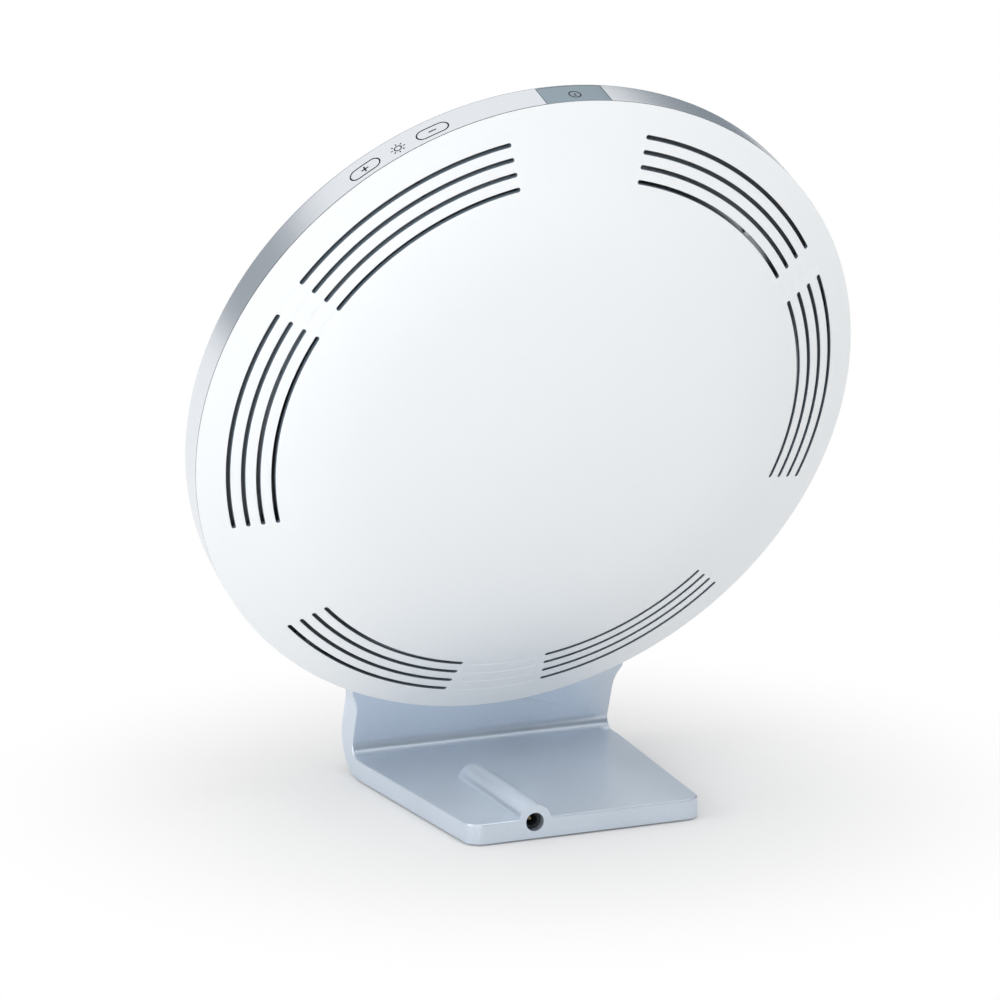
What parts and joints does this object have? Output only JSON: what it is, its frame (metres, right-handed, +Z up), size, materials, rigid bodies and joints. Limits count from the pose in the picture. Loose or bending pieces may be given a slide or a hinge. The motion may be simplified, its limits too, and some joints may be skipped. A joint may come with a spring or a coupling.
{
  "type": "light therapy lamp",
  "caption": "Round daylight therapy panel leaning back on an L-shaped foot, with vented domed back, keys on the rim and a low-voltage inlet in the foot.",
  "frame": {"origin": "on the table under the middle of the footprint, bottom centre of the whole lamp", "axes": "+Z up; the lit front faces -Y and leans back, the vented back and the foot's inlet face +Y; +X is to the left when the back is looked at"},
  "size_m": [0.372, 0.162, 0.3902],
  "materials": {
    "white_plastic": "fine satin",
    "pearl_plastic": "pearl silver-white, semi-gloss",
    "key_silver": "silver, semi-gloss",
    "stand_silver": "silver-blue metallic paint with a fine grain",
    "opal_plastic": "opal, satin",
    "tray_plastic": "matt white",
    "foam": "closed-cell foam",
    "plate_aluminium": "mill finish",
    "white_board": "white solder mask",
    "green_board": "green solder mask",
    "led_package": "phosphor",
    "black_plastic": "moulded",
    "cream_plastic": "moulded",
    "switch_plastic": "moulded",
    "ferrite": "ferrite and enamelled windings",
    "capacitor_can": "sleeved can",
    "screw_steel": "zinc plated",
    "sheet_steel": "zinc plated",
    "contact_brass": "plated",
    "foot_rubber": "matt",
    "lead_jacket": "PVC jacket"
  },
  "bodies": {
    "lamp": {"rear_cover": "white_plastic", "front_frame": "pearl_plastic", "stand_shell": "stand_silver", "stand_cover": "stand_silver", "diffuser": "opal_plastic", "reflector_tray": "tray_plastic", "diffuser_gasket": "foam", "led_plate": "plate_aluminium", "led_boards": "white_board", "driver_board": "green_board", "power_key_board": "green_board", "brightness_key_board": "green_board", "led_chips": "led_package", "driver_chips": "black_plastic", "dc_jack": "black_plastic", "driver_headers": "cream_plastic", "board_links": "cream_plastic", "power_switch": "switch_plastic", "plus_switch": "switch_plastic", "minus_switch": "switch_plastic", "driver_coil": "ferrite", "driver_capacitors": "capacitor_can", "tray_screws": "screw_steel", "led_plate_screws": "screw_steel", "led_board_screws": "screw_steel", "driver_screws": "screw_steel", "key_board_screws": "screw_steel", "bracket_head_screws": "screw_steel", "bracket_foot_screws": "screw_steel", "cover_screws": "screw_steel", "stand_bracket": "sheet_steel", "ballast_plate": "sheet_steel", "dc_jack_pin": "contact_brass", "driver_standoffs": "contact_brass", "rubber_feet": "foot_rubber", "power_lead": "lead_jacket", "power_key_lead": "lead_jacket", "brightness_key_lead": "lead_jacket", "led_lead": "lead_jacket"},
    "power_button": {"power_key": "key_silver", "power_plunger": "switch_plastic"},
    "plus_button": {"plus_key": "pearl_plastic", "plus_plunger": "switch_plastic"},
    "minus_button": {"minus_key": "pearl_plastic", "minus_plunger": "switch_plastic"}
  },
  "joints": [
    {"name": "power_press", "type": "slide", "parent": "lamp", "child": "power_button", "axis": [0, -0.342, -0.9397], "range_m": [0, 0.0005], "stiffness_N_per_m": 1500, "springref_m": -0.0004},
    {"name": "plus_press", "type": "slide", "parent": "lamp", "child": "plus_button", "axis": [-0.5023, -0.2957, -0.8126], "range_m": [0, 0.0005], "stiffness_N_per_m": 1500, "springref_m": -0.0004},
    {"name": "minus_press", "type": "slide", "parent": "lamp", "child": "minus_button", "axis": [-0.5023, -0.2957, -0.8126], "range_m": [0, 0.0005], "stiffness_N_per_m": 1500, "springref_m": -0.0004}
  ]
}
